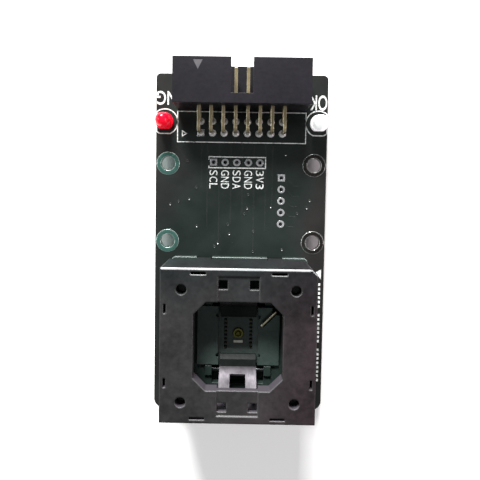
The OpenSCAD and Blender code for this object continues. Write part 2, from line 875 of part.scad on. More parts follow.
module latch_lever() {
    half = latch_w / 2;
    tip = lever_foot + lever_up * lever_len;
    slot = lever_foot + lever_up * latch_bar;
    thick = lever_out * latch_t;
    color([0.75, 0.72, 0.76]) difference() {
        union() {
            along_x(-half, latch_w) polygon([lever_foot, lever_foot + [latch_t / cos(latch_lean), 0],
                tip + thick - lever_up * 0.35, tip + thick * 0.6, tip, tip - lever_up * 0.2]);
            for (x = [-half, half - ear_t]) {
                latch_ear(x);
            }
        }
        along_x(-latch_slot_w / 2, latch_slot_w)
            polygon([slot - thick, slot + 2 * thick, tip + 2 * thick + lever_up, tip - thick + lever_up]);
        rod_x(hinge_bore_d, -half - eps, half + eps, hinge_at, hinge_z);
    }
}

// One ear: a round eye on the pin, joined to the back of the lever
module latch_ear(x) {
    pin = [hinge_at, hinge_z];
    rod_x(2 * ear_r, x, x + ear_t, hinge_at, hinge_z);
    along_x(x, ear_t) polygon([lever_foot + lever_out * latch_t * 0.5 + lever_up * 0.3,
        lever_foot + lever_out * latch_t * 0.5 + lever_up * 2.9,
        pin + unit(lever_up + 0.3 * lever_out) * ear_r,
        pin - unit(lever_up + 0.9 * lever_out) * ear_r * 0.9]);
}

module latch_nose() {
    half = latch_w / 2 - 0.1;
    color([0.16, 0.14, 0.14]) along_x(-half, 2 * half) polygon([[nose_at, nose_under], on_face(nose_under),
        on_face(nose_top), [nose_at + nose_slant, nose_top], [nose_at, nose_under + nose_heel]]);
}

module latch_pin() {
    color([0.72, 0.72, 0.74]) rod_x(hinge_d, -tower_in - tower_t, tower_in + tower_t, hinge_at, hinge_z);
}

// A twist spring round the middle of the pin: one arm bears on the lever, the other on the base
module latch_spring() {
    r = latch_spring_r;
    half = latch_spring_w / 2;
    n = latch_spring_turns * coil_steps;
    turns = [for (i = [0 : n]) let (a = 360 * i / coil_steps)
        [half * (2 * i / n - 1), -r * cos(a), r * sin(a)]];
    rise = bay_floor + latch_wire / 2 + 0.02 - hinge_z;
    color([0.7, 0.7, 0.72]) translate([0, hinge_at, hinge_z]) wire(concat(
        [[-half, 1.4 * lever_up[0] - r, 1.4 * lever_up[1]], [-half, -r, 0.2]], turns,
        [[half, -r, -0.6 * r], [half, 0, rise], [half, 2, rise]]), latch_wire / 2, [1, 0.01, 0.02]);
}

module latch_lever_inner() {
    on_side(false) latch_lever();
}

module latch_lever_outer() {
    on_side(true) latch_lever();
}

module latch_nose_inner() {
    on_side(false) latch_nose();
}

module latch_nose_outer() {
    on_side(true) latch_nose();
}

module latch_pin_inner() {
    on_side(false) latch_pin();
}

module latch_pin_outer() {
    on_side(true) latch_pin();
}

module latch_spring_inner() {
    on_side(false) latch_spring();
}

module latch_spring_outer() {
    on_side(true) latch_spring();
}

// ---- Bias wire: presses the package into the far corner of the nest ----

module bias_wire() {
    r = bias_d / 2;
    color([0.85, 0.75, 0.5]) in_socket() translate([bias_tip[0], bias_tip[1], bias_z]) rotate([0, 0, 45]) {
        rotate([0, 90, 0]) cylinder(r = r, h = bias_len);
        translate([bias_len, 0, 0]) sphere(r);
        translate([bias_len, 0, guide_z + 0.3 - bias_z]) cylinder(r = r, h = bias_z - guide_z - 0.3);
        sphere(r);
    }
}

circuit_board();
header_housing();
header_pins_upper();
header_pins_lower();
header_solder();
red_led_lens();
red_led_leads();
clear_led_lens();
clear_led_leads();
led_solder();
socket_base();
lead_stopper();
contact_guide();
package_nest();
signal_contacts_left();
signal_contacts_right();
centre_contact();
ground_blade();
socket_solder();
socket_cover();
cover_spring_inner_left();
cover_spring_inner_right();
cover_spring_outer_left();
cover_spring_outer_right();
latch_lever_inner();
latch_nose_inner();
latch_lever_outer();
latch_nose_outer();
latch_pin_inner();
latch_pin_outer();
latch_spring_inner();
latch_spring_outer();
bias_wire();
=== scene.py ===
# A zero-insertion-force test socket on its adapter board, dressed round the fixed frame.
import math

import bmesh
import bpy
import numpy as np
from mathutils import Matrix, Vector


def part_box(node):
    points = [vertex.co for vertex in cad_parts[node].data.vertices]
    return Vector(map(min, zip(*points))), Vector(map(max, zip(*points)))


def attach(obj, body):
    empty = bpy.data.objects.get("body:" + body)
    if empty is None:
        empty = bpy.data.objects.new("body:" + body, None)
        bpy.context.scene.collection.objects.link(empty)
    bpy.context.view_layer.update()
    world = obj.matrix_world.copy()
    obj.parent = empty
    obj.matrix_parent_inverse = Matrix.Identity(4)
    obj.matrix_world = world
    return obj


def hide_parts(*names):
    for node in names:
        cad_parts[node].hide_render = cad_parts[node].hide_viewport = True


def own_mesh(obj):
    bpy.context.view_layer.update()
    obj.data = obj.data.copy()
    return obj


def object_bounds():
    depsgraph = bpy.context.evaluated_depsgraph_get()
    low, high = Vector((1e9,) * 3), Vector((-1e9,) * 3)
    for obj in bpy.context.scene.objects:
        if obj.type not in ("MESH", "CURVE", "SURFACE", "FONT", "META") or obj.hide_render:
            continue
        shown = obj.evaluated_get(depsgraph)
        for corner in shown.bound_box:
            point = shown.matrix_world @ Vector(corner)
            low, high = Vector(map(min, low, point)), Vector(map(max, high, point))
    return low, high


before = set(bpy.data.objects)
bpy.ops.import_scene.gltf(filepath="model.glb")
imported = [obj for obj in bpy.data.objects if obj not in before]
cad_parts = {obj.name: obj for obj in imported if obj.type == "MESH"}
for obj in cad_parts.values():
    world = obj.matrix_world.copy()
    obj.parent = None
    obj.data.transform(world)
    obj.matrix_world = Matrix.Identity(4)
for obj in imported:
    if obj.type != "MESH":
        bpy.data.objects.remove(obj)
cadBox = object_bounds()
mm = 0.001


# Lower and upper corner of a node of the frame, in millimetres
def nodeBox(name):
    low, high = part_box(name)
    return np.array(low) / mm, np.array(high) / mm


boardLow, boardHigh = nodeBox("circuit_board")
coverLow, coverHigh = nodeBox("socket_cover")
housingLow, housingHigh = nodeBox("header_housing")
upperLow = nodeBox("header_pins_upper")[0]
lowerLow = nodeBox("header_pins_lower")[0]
redLow, redHigh = nodeBox("red_led_lens")
clearLow, clearHigh = nodeBox("clear_led_lens")
boardTop = boardHigh[2]
boardUnder = boardLow[2]
socketX, socketY = (coverLow[:2] + coverHigh[:2]) / 2
pinPitch = 2.54
pinWidth = 0.64
headerX = (np.arange(8) - 3.5) * pinPitch
nearRow = lowerLow[1] + pinWidth / 2
farRow = upperLow[1] + pinWidth / 2
screwHoles = {"acrossX": 32.0, "alongY": 17.0, "radius": 1.6, "ringRadius": 2.52}
stripHoles = {"x": -0.95, "y": boardHigh[1] - 19.1, "sideX": 8.9, "sideY": boardHigh[1] - 27.4,
              "count": 5, "radius": 0.45, "ringRadius": 0.82}
stripSteps = (np.arange(stripHoles["count"]) - (stripHoles["count"] - 1) / 2) * pinPitch
print("frame loaded")


# A grid of points becomes quads; either direction can close on itself
def gridPart(points, wrapRows=False, wrapColumns=False):
    rows, columns = points.shape[:2]
    r = np.arange(rows if wrapRows else rows - 1)[:, None]
    c = np.arange(columns if wrapColumns else columns - 1)[None, :]
    rNext, cNext = (r + 1) % rows, (c + 1) % columns
    quads = np.stack([r * columns + c, r * columns + cNext, rNext * columns + cNext, rNext * columns + c], -1)
    return points.reshape(-1, 3), quads.reshape(-1, 4).tolist()


# The same part at several places
def copiesOf(part, places):
    points, faces = part
    places = np.asarray(places, float)
    places = np.pad(places, ((0, 0), (0, 3 - places.shape[1])))
    allPoints = (points[None] + places[:, None]).reshape(-1, 3)
    allFaces = [[i + k * len(points) for i in f] for k in range(len(places)) for f in faces]
    return allPoints, allFaces


# Several parts as one: their points follow each other and the faces count on
def joined(parts):
    points, faces, start = [], [], 0
    for p, f in parts:
        points.append(p)
        faces += [[i + start for i in face] for face in f]
        start += len(p)
    return np.concatenate(points), faces


# Turned shape: each (radius, height) of the profile goes round the upright axis
def turned(profile, sides, closed=False):
    profile = np.asarray(profile, float)
    angle = np.arange(sides) * 2 * math.pi / sides
    radius, height = profile[:, :1], profile[:, 1:]
    points = np.stack([radius * np.cos(angle), radius * np.sin(angle), height + 0 * angle], -1)
    return gridPart(points, wrapRows=closed, wrapColumns=True)


# Rounded stroke of a profile: an arc from one angle to another, in degrees
def arc(x, y, radius, start, end, steps=8):
    a = np.radians(np.linspace(start, end, steps))
    return np.stack([x + radius * np.cos(a), y + radius * np.sin(a)], -1)


# Tube: a ring of the given radius stands square to the path at each point; the ends close to a point
def tube(path, radius, sides=12, reference=(0, 0, 1)):
    path = np.asarray(path, float)
    ahead = np.gradient(path, axis=0)
    ahead /= np.linalg.norm(ahead, axis=1)[:, None]
    sideways = np.cross(ahead, reference)
    sideways /= np.linalg.norm(sideways, axis=1)[:, None]
    upwards = np.cross(sideways, ahead)
    angle = np.arange(sides) * 2 * math.pi / sides
    ring = np.cos(angle)[None, :, None] * sideways[:, None] + np.sin(angle)[None, :, None] * upwards[:, None]
    points = path[:, None] + radius * ring
    ends = [np.repeat(path[i][None, None], sides, 1) for i in (0, -1)]
    return gridPart(np.concatenate([ends[0], points, ends[1]]), wrapColumns=True)


# Flat strip: the path's points move half the width to each side along the mitre, and get a thickness
def ribbon(path, width, low, high, closed=False):
    path = np.asarray(path, float)
    into = path - np.roll(path, 1, 0)
    outof = np.roll(path, -1, 0) - path
    if not closed:
        into[0], outof[-1] = outof[0], into[-1]
    into /= np.linalg.norm(into, axis=1)[:, None]
    outof /= np.linalg.norm(outof, axis=1)[:, None]
    mitre = into + outof
    mitre /= np.linalg.norm(mitre, axis=1)[:, None]
    across = np.stack([-mitre[:, 1], mitre[:, 0]], -1)
    stretch = 1 / np.maximum(0.35, (mitre * into).sum(1))
    across *= (width / 2 * stretch)[:, None]
    left, right = path + across, path - across
    level = np.ones((len(path), 1))
    section = np.stack([np.hstack([left, low * level]), np.hstack([left, high * level]),
                        np.hstack([right, high * level]), np.hstack([right, low * level])], 1)
    points, faces = gridPart(section, wrapRows=closed, wrapColumns=True)
    if not closed:
        n = len(points)
        faces += [[0, 1, 2, 3], [n - 1, n - 2, n - 3, n - 4]]
    return points, faces


# Rectangle's corners, for closed strips
def rectangle(x0, x1, y0, y1):
    return [[x0, y0], [x1, y0], [x1, y1], [x0, y1]]


# Filled flat shape with a small thickness
def plate(outline, low, high):
    outline = np.asarray(outline, float)
    n = len(outline)
    points = np.concatenate([np.pad(outline, ((0, 0), (0, 1)), constant_values=low),
                             np.pad(outline, ((0, 0), (0, 1)), constant_values=high)])
    i = np.arange(n)
    walls = np.stack([i, (i + 1) % n, (i + 1) % n + n, i + n], -1).tolist()
    return points, walls + [list(range(n))[::-1], list(range(n, 2 * n))]


# Lettering from the plain built-in face: scaled to a width and height, turned about its middle and laid
# flat at a level
def lettering(words, wide, high, x, y, turn, level, bold=0.0):
    curve = bpy.data.curves.new("lettering", "FONT")
    curve.body = words
    curve.offset = bold
    curve.resolution_u = 4
    holder = bpy.data.objects.new("lettering", curve)
    mesh = bpy.data.meshes.new_from_object(holder)
    points = np.empty(len(mesh.vertices) * 3)
    mesh.vertices.foreach_get("co", points)
    faces = [list(p.vertices) for p in mesh.polygons]
    bpy.data.objects.remove(holder)
    bpy.data.meshes.remove(mesh)
    bpy.data.curves.remove(curve)
    flat = points.reshape(-1, 3)[:, :2]
    flat = (flat - (flat.min(0) + flat.max(0)) / 2) / np.ptp(flat, axis=0) * [wide, high]
    c, s = math.cos(math.radians(turn)), math.sin(math.radians(turn))
    flat = flat @ [[c, s], [-s, c]] + [x, y]
    return np.column_stack([flat, np.full(len(flat), level)]), faces


# Puts a part into the scene on a body: doubles merged, faces outwards, edges sharp past an angle
def addPiece(name, part, body, material, sharp=35, solid=True):
    points, faces = part
    mesh = bpy.data.meshes.new(name)
    mesh.from_pydata((np.asarray(points) * mm).tolist(), [], faces)
    work = bmesh.new()
    work.from_mesh(mesh)
    bmesh.ops.remove_doubles(work, verts=work.verts, dist=1e-7)
    bmesh.ops.dissolve_degenerate(work, edges=work.edges, dist=1e-8)
    if solid:
        bmesh.ops.recalc_face_normals(work, faces=work.faces)
    work.to_mesh(mesh)
    work.free()
    mesh.shade_smooth()
    mesh.set_sharp_from_angle(angle=math.radians(sharp))
    mesh.materials.append(material)
    piece = bpy.data.objects.new(name, mesh)
    bpy.context.scene.collection.objects.link(piece)
    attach(piece, body)
    return piece


# A new finish with its shader's own values set, ready for nodes
def newFinish(name, colour, roughness, metallic=0.0, **sockets):
    material = bpy.data.materials.new(name)
    material.use_nodes = True
    shader = material.node_tree.nodes["Principled BSDF"]
    shader.inputs["Base Color"].default_value = (*colour, 1)
    shader.inputs["Roughness"].default_value = roughness
    shader.inputs["Metallic"].default_value = metallic
    for socket, value in sockets.items():
        shader.inputs[socket.replace("_", " ")].default_value = value
    return material, material.node_tree, shader


# One step of arithmetic on values or sockets, held to 0..1 if asked
def calculated(tree, operation, *values, clamp=False):
    node = tree.nodes.new("ShaderNodeMath")
    node.operation = operation
    node.use_clamp = clamp
    for i, value in enumerate(values):
        if isinstance(value, (int, float)):
            node.inputs[i].default_value = value
        else:
            tree.links.new(value, node.inputs[i])
    return node.outputs[0]


# Place on the object in metres, stretched along each axis if asked
def objectPlace(tree, stretch=None):
    place = tree.nodes.new("ShaderNodeTexCoord").outputs["Object"]
    if stretch is None:
        return place
    mapping = tree.nodes.new("ShaderNodeMapping")
    mapping.inputs["Scale"].default_value = stretch
    tree.links.new(place, mapping.inputs["Vector"])
    return mapping.outputs["Vector"]


# Noise from 0 to 1, with the given number of clouds a metre and octaves of detail
def clouds(tree, place, perMetre, detail=3.0, roughness=0.55):
    node = tree.nodes.new("ShaderNodeTexNoise")
    node.inputs["Scale"].default_value = perMetre
    node.inputs["Detail"].default_value = detail
    node.inputs["Roughness"].default_value = roughness
    tree.links.new(place, node.inputs["Vector"])
    return node.outputs["Fac"]


# Colour along a value: each stop is (position, colour)
def coloured(tree, value, stops):
    node = tree.nodes.new("ShaderNodeValToRGB")
    ramp = node.color_ramp
    while len(ramp.elements) < len(stops):
        ramp.elements.new(0.5)
    for element, (position, colour) in zip(ramp.elements, stops):
        element.position = position
        element.color = (*colour, 1)
    tree.links.new(value, node.inputs["Fac"])
    return node.outputs["Color"]


# Two colours blended by a share: first at 0, second at 1, or another blend of the two
def mixed(tree, share, first, second, blend="MIX"):
    node = tree.nodes.new("ShaderNodeMix")
    node.data_type = "RGBA"
    node.blend_type = blend
    for name, kind, value in (("Factor", "VALUE", share), ("A", "RGBA", first), ("B", "RGBA", second)):
        socket = [s for s in node.inputs if s.name == name and s.type == kind][0]
        if isinstance(value, tuple):
            socket.default_value = (*value, 1)
        elif isinstance(value, (int, float)):
            socket.default_value = value
        else:
            tree.links.new(value, socket)
    return [s for s in node.outputs if s.type == "RGBA"][0]


# A value between two bounds carried on a straight line to two others
def ranged(tree, value, low, high, fromLow=0.3, fromHigh=0.7):
    node = tree.nodes.new("ShaderNodeMapRange")
    node.inputs["From Min"].default_value = fromLow
    node.inputs["From Max"].default_value = fromHigh
    node.inputs["To Min"].default_value = low
    node.inputs["To Max"].default_value = high
    tree.links.new(value, node.inputs["Value"])
    return node.outputs["Result"]


# Edges look rounded by the given radius, in millimetres
def roundedNormal(tree, radius):
    node = tree.nodes.new("ShaderNodeBevel")
    node.samples = 6
    node.inputs["Radius"].default_value = radius * mm
    return node.outputs["Normal"]


# How far the rounded surface leans from the flat one: 0 on faces, towards 1 on edges
def edgeShare(tree, radius, gain):
    dot = tree.nodes.new("ShaderNodeVectorMath")
    dot.operation = "DOT_PRODUCT"
    tree.links.new(roundedNormal(tree, radius), dot.inputs[0])
    tree.links.new(tree.nodes.new("ShaderNodeNewGeometry").outputs["Normal"], dot.inputs[1])
    lean = calculated(tree, "SUBTRACT", 1.0, dot.outputs["Value"])
    return calculated(tree, "MULTIPLY", lean, gain, clamp=True)


# The finish's normal leans with a height, on top of the rounded edges where they are asked for
def bumped(tree, shader, height, strength, depth, rounding=0.0):
    node = tree.nodes.new("ShaderNodeBump")
    node.inputs["Strength"].default_value = strength
    node.inputs["Distance"].default_value = depth * mm
    tree.links.new(height, node.inputs["Height"])
    if rounding:
        tree.links.new(roundedNormal(tree, rounding), node.inputs["Normal"])
    tree.links.new(node.outputs["Normal"], shader.inputs["Normal"])


# 1 between two heights, in millimetres
def betweenHeights(tree, place, low, high):
    split = tree.nodes.new("ShaderNodeSeparateXYZ")
    tree.links.new(place, split.inputs[0])
    above = calculated(tree, "GREATER_THAN", split.outputs["Z"], low * mm)
    below = calculated(tree, "LESS_THAN", split.outputs["Z"], high * mm)
    return calculated(tree, "MULTIPLY", above, below)


maskLook = {"dark": (0.0058, 0.0102, 0.0088), "light": (0.0125, 0.0185, 0.0165), "roughness": 0.36,
            "glassEdge": (0.16, 0.15, 0.085)}


# Solder mask: two slow tones, a painted warm reflection near the long sides, fine orange peel, and bare
# laminate with glass layers on cut edges
def boardFinish(name, lift=0.0):
    dark = tuple(c + lift for c in maskLook["dark"])
    light = tuple(c + lift for c in maskLook["light"])
    gloss = maskLook["roughness"]
    material, tree, shader = newFinish(name, dark, gloss, Specular_IOR_Level=0.36)
    place = objectPlace(tree)
    slow = clouds(tree, place, 95, 4)
    tone = coloured(tree, slow, [(0.32, dark), (0.68, light)])
    split = tree.nodes.new("ShaderNodeSeparateXYZ")
    tree.links.new(place, split.inputs[0])
    drift = ranged(tree, clouds(tree, place, 80, 3), -0.005, 0.005)
    # painted warm reflection: the mask turns reddish towards both long sides, standing in for warm light from
    # the surroundings
    paintedWarmSides = calculated(tree, "ADD", calculated(tree, "ABSOLUTE", split.outputs["X"]), drift)
    paintedWarmSides = ranged(tree, paintedWarmSides, 0.0, 1.0, 0.012, 0.019)
    tone = mixed(tree, paintedWarmSides, tone, mixed(tree, 1.0, tone, (1.25, 0.80, 0.88), "MULTIPLY"))
    weave = tree.nodes.new("ShaderNodeTexWave")
    weave.bands_direction = "Z"
    weave.inputs["Scale"].default_value = 1300
    weave.inputs["Distortion"].default_value = 1.5
    tree.links.new(place, weave.inputs["Vector"])
    laminate = coloured(tree, weave.outputs["Fac"],
                        [(0.2, (0.045, 0.045, 0.028)), (0.9, maskLook["glassEdge"])])
    cut = betweenHeights(tree, place, boardUnder + 0.03, boardTop - 0.03)
    tree.links.new(mixed(tree, cut, tone, laminate), shader.inputs["Base Color"])
    tree.links.new(ranged(tree, clouds(tree, place, 420, 2), gloss - 0.02, gloss + 0.06),
                   shader.inputs["Roughness"])
    bumped(tree, shader, clouds(tree, place, 2600, 2), 0.10, 0.03, 0.06)
    return material


# Painted light across the part: neutral at the left, a painted warm reflection at the right and painted
# shade, cooler, towards the header end
def paintedSideLightAndShade(tree, place, tone, warm, cool):
    split = tree.nodes.new("ShaderNodeSeparateXYZ")
    tree.links.new(place, split.inputs[0])
    drift = ranged(tree, clouds(tree, place, 60, 3), -0.004, 0.004)
    right = ranged(tree, calculated(tree, "ADD", split.outputs["X"], drift), 0.0, 1.0, 0.002, 0.015)
    north = ranged(tree, calculated(tree, "ADD", split.outputs["Y"], drift), 0.0, 1.0, -0.022, -0.012)
    tinted = mixed(tree, right, tone, mixed(tree, 1.0, tone, warm, "MULTIPLY"))
    return mixed(tree, north, tinted, mixed(tree, 1.0, tinted, cool, "MULTIPLY"))


# Moulded plastic: slow tone change, fine grain, polished edges with a patchy painted highlight, and a
# stronger painted highlight on the upper edges towards the header end. The lit-slope pair is a y and the
# colour of painted light on faces that lean to +Y before it; the tip pair is a height and a lighter colour
# painted above it to lift shade
def mouldedFinish(name, dark, light, roughness, grain=0.16, rounding=0.1, edge=None, edgeGain=1.6,
                  perMetre=130, grainScale=5200, polish=0.0, paintedNorthHighlight=None, paintedSideLightTints=None, shine=0.34, paintedLitSlopes=None,
                  paintedLiftTips=None):
    material, tree, shader = newFinish(name, dark, roughness, Specular_IOR_Level=shine)
    place = objectPlace(tree)
    slow = clouds(tree, place, perMetre, 4)
    speckle = clouds(tree, place, perMetre * 9, 4, 0.7)
    both = calculated(tree, "ADD", calculated(tree, "MULTIPLY", slow, 0.6),
                      calculated(tree, "MULTIPLY", speckle, 0.4))
    tone = coloured(tree, both, [(0.36, dark), (0.64, light)])
    # painted light: a warm reflection at the right and painted shade towards the header end
    if paintedSideLightTints:
        tone = paintedSideLightAndShade(tree, place, tone, *paintedSideLightTints)
    where = tree.nodes.new("ShaderNodeSeparateXYZ")
    tree.links.new(place, where.inputs[0])
    # painted light: faces that lean to +Y, towards the key light, get a lighter colour before the given y
    if paintedLitSlopes:
        flat = tree.nodes.new("ShaderNodeSeparateXYZ")
        tree.links.new(tree.nodes.new("ShaderNodeNewGeometry").outputs["Normal"], flat.inputs[0])
        inside = calculated(tree, "MULTIPLY", calculated(tree, "GREATER_THAN", flat.outputs["Y"], 0.4),
                            calculated(tree, "LESS_THAN", where.outputs["Y"], paintedLitSlopes[0] * mm))
        tone = mixed(tree, inside, tone, paintedLitSlopes[1])
    # painted light: a lighter colour above the given height lifts the shade in the post tops' dimples
    if paintedLiftTips:
        tone = mixed(tree, calculated(tree, "GREATER_THAN", where.outputs["Z"], paintedLiftTips[0] * mm), tone, paintedLiftTips[1])
    gloss = ranged(tree, clouds(tree, place, 1500, 3), roughness - 0.04, roughness + 0.05)
    # painted highlight: rounded edges are painted a paler colour in patches, and their roughness drops for
    # polish
    if edge:
        edges = edgeShare(tree, rounding, edgeGain)
        paintedEdgeHighlight = calculated(tree, "MULTIPLY", edges, ranged(tree, clouds(tree, place, 700, 3), 0.35, 1.0))
        tone = mixed(tree, paintedEdgeHighlight, tone, edge)
        gloss = calculated(tree, "SUBTRACT", gloss, calculated(tree, "MULTIPLY", edges, polish))
    # painted highlight: pale patches on upper edges that face +Y, towards the key light, near the outer north
    # wall
    if paintedNorthHighlight:
        split = tree.nodes.new("ShaderNodeSeparateXYZ")
        tree.links.new(roundedNormal(tree, rounding), split.inputs[0])
        leaning = calculated(tree, "SUBTRACT", split.outputs["Y"], 0.12)
        facing = calculated(tree, "MULTIPLY", leaning, 5.0, clamp=True)
        top = calculated(tree, "GREATER_THAN", split.outputs["Z"], 0.5)
        lip = calculated(tree, "MULTIPLY", calculated(tree, "MULTIPLY", facing, top),
                         calculated(tree, "MULTIPLY", edges, 8.0, clamp=True))
        outer = ranged(tree, where.outputs["Y"], 0.10, 1.0, -0.0132, -0.0126)
        patchy = calculated(tree, "MULTIPLY", outer, ranged(tree, clouds(tree, place, 420, 3), 0.55, 1.0))
        tone = mixed(tree, calculated(tree, "MULTIPLY", lip, patchy), tone, paintedNorthHighlight)
    tree.links.new(tone, shader.inputs["Base Color"])
    tree.links.new(gloss, shader.inputs["Roughness"])
    bumped(tree, shader, clouds(tree, place, grainScale, 3, 0.7), grain, 0.03, rounding)
    return material


# Plated or drawn metal: tone and gloss change slowly, with a soft grain; edges can be painted paler as a
# highlight
def platedFinish(name, dark, light, roughness, rounding=0.04, perMetre=900, grain=0.08, spread=0.08,
                 metallic=1.0, edge=None):
    material, tree, shader = newFinish(name, light, roughness, metallic)
    place = objectPlace(tree)
    tone = coloured(tree, clouds(tree, place, perMetre, 3), [(0.3, dark), (0.7, light)])
    # painted highlight: the edge colour on the rounded edges
    if edge:
        tone = mixed(tree, edgeShare(tree, rounding, 3.5), tone, edge)
    tree.links.new(tone, shader.inputs["Base Color"])
    gloss = ranged(tree, clouds(tree, place, perMetre * 1.7, 3), roughness - spread, roughness + spread)
    tree.links.new(gloss, shader.inputs["Roughness"])
    bumped(tree, shader, clouds(tree, place, 3500, 3), grain, 0.03, rounding)
    return material


# Brushed steel: fine scratches along the slope, and painted shade below a height, deep in the socket where
# light doesn't reach
def brushedFinish(name, dark, light, roughness, footHeight):
    material, tree, shader = newFinish(name, light, roughness, 0.55, Anisotropic=0.5, Specular_IOR_Level=0.5)
    place = objectPlace(tree)
    scratches = clouds(tree, objectPlace(tree, (14000, 900, 900)), 1.0, 4, 0.6)
    stains = clouds(tree, place, 650, 3)
    both = calculated(tree, "ADD", calculated(tree, "MULTIPLY", scratches, 0.45),
                      calculated(tree, "MULTIPLY", stains, 0.55))
    split = tree.nodes.new("ShaderNodeSeparateXYZ")
    tree.links.new(place, split.inputs[0])
    shade = ranged(tree, split.outputs["Z"], 0.10, 1.0, (footHeight - 0.4) * mm, (footHeight + 0.9) * mm)
    metal = coloured(tree, both, [(0.36, dark), (0.6, light)])
    tree.links.new(mixed(tree, 1.0, metal, shade, "MULTIPLY"), shader.inputs["Base Color"])
    tree.links.new(ranged(tree, scratches, roughness - 0.1, roughness + 0.12), shader.inputs["Roughness"])
    bumped(tree, shader, scratches, 0.12, 0.02, 0.05)
    return material


# Cast epoxy of a lamp: glossy skin over a tinted, softly cloudy body with a faint painted glow that keeps it
# pale and saturated
def epoxyFinish(name, deep, pale, paintedGlow):
    material, tree, shader = newFinish(name, deep, 0.22, IOR=1.45, Coat_Weight=0.22, Coat_Roughness=0.04,
                                       Specular_IOR_Level=0.25)
    place = objectPlace(tree)
    cloudy = coloured(tree, clouds(tree, place, 420, 3), [(0.35, deep), (0.7, pale)])
    tree.links.new(cloudy, shader.inputs["Base Color"])
    tree.links.new(cloudy, shader.inputs["Emission Color"])
    shader.inputs["Emission Strength"].default_value = paintedGlow
    bumped(tree, shader, clouds(tree, place, 500, 2), 0.05, 0.05)
    return material


# Screw rings: tinned copper with a painted reflection, greener on one side of the board and darker on the
# other, and pale painted highlights on the lips
def ringFinish(name):
    material, tree, shader = newFinish(name, (0.3, 0.36, 0.34), 0.2, 0.55)
    place = objectPlace(tree)
    split = tree.nodes.new("ShaderNodeSeparateXYZ")
    tree.links.new(place, split.inputs[0])
    # painted reflection: green towards the left, dark towards the right
    across = calculated(tree, "ADD", calculated(tree, "MULTIPLY", split.outputs["X"], 22.0), 0.5)
    paintedReflectionSide = calculated(tree, "ADD", across, ranged(tree, clouds(tree, place, 600, 3), -0.12, 0.12))
    tone = coloured(tree, paintedReflectionSide, [(0.15, (0.055, 0.145, 0.122)), (0.8, (0.018, 0.015, 0.014))])
    paintedLipHighlights = edgeShare(tree, 0.16, 5.0)
    tree.links.new(mixed(tree, paintedLipHighlights, tone, (0.86, 0.90, 0.88)), shader.inputs["Base Color"])
    tree.links.new(ranged(tree, clouds(tree, place, 900, 3), 0.14, 0.32), shader.inputs["Roughness"])
    bumped(tree, shader, clouds(tree, place, 1800, 3), 0.1, 0.04, 0.14)
    return material


# Screen-printed ink: slightly broken cover
def inkFinish(name):
    material, tree, shader = newFinish(name, (0.6, 0.62, 0.61), 0.55, Specular_IOR_Level=0.3)
    place = objectPlace(tree)
    cover = clouds(tree, place, 2600, 3)
    tree.links.new(coloured(tree, cover, [(0.36, (0.34, 0.37, 0.36)), (0.52, (0.74, 0.76, 0.75))]),
                   shader.inputs["Base Color"])
    bumped(tree, shader, clouds(tree, place, 4000, 2), 0.1, 0.02)
    return material


boardMask = boardFinish("boardMask")
coveredCopper = boardFinish("coveredCopper", 0.003)
printedInk = inkFinish("printedInk")
# The edge colour of each moulded finish below is a painted highlight on its rounded edges
headerPlastic = mouldedFinish("headerPlastic", (0.0050, 0.0045, 0.0070), (0.0104, 0.0092, 0.0136), 0.48,
                              edge=(0.09, 0.09, 0.10), edgeGain=1.0, rounding=0.12, grain=0.2, shine=0.20)
headerMark = mouldedFinish("headerMark", (0.055, 0.053, 0.060), (0.085, 0.082, 0.090), 0.6)
# painted light on the cover: a highlight on its north edges, a warm reflection at the right, shade towards
# the header end and light on faces that lean to +Y
coverPlastic = mouldedFinish("coverPlastic", (0.0088, 0.0088, 0.0092), (0.0300, 0.0288, 0.0296), 0.43,
                             grain=0.24, rounding=0.42, edge=(0.15, 0.15, 0.15), edgeGain=0.9, perMetre=85,
                             polish=0.14, paintedNorthHighlight=(0.72, 0.75, 0.77), shine=0.28,
                             paintedSideLightTints=((1.14, 0.82, 0.92), (0.50, 0.64, 0.67)),
                             paintedLitSlopes=(socketY - 6, (0.052, 0.046, 0.056)))
# painted light on the base: a highlight on its north edges, and lighter post tops that lift their shade
basePlastic = mouldedFinish("basePlastic", (0.0120, 0.0215, 0.0185), (0.0225, 0.0370, 0.0330), 0.50,
                            edge=(0.04, 0.05, 0.047), edgeGain=0.9, rounding=0.22, polish=0.12,
                            paintedNorthHighlight=(0.60, 0.66, 0.66), paintedLiftTips=(boardTop + 12, (0.085, 0.09, 0.09)))
# painted light: the nest is a lighter copy of the green plastic, lifted against the shade in the pocket
nestPlasticPaintedLift = mouldedFinish("nestPlasticPaintedLift", (0.0250, 0.0400, 0.0355), (0.0460, 0.0660, 0.0600), 0.46,
                            edge=(0.06, 0.075, 0.07), edgeGain=0.9, rounding=0.08)
guidePlastic = mouldedFinish("guidePlastic", (0.0560, 0.0760, 0.0700), (0.0920, 0.1180, 0.1100), 0.42,
                             edge=(0.05, 0.06, 0.06), edgeGain=0.9, rounding=0.06)
nosePlastic = mouldedFinish("nosePlastic", (0.0080, 0.0108, 0.0100), (0.0150, 0.0190, 0.0180), 0.50,
                            edge=(0.02, 0.022, 0.022), edgeGain=0.7, rounding=0.07, shine=0.12)
# painted highlight: pale plastic for the cover's edge bead, standing in for light along the north edge
beadPaintedHighlight = mouldedFinish("beadPaintedHighlight", (0.26, 0.27, 0.28), (0.52, 0.54, 0.55), 0.3, grain=0.1,
                            perMetre=300)
# painted highlight: the pins' edges are painted cream-white
pinGold = platedFinish("pinGold", (0.22, 0.18, 0.10), (0.40, 0.33, 0.20), 0.22, rounding=0.15, perMetre=420,
                       grain=0.02, metallic=0.45, edge=(1.0, 0.90, 0.68))
# painted shade: the signal contacts are a darkened copy of the gold, for the pocket's shade
contactGoldPaintedShade = platedFinish("contactGoldPaintedShade", (0.030, 0.024, 0.010), (0.07, 0.055, 0.022), 0.36)
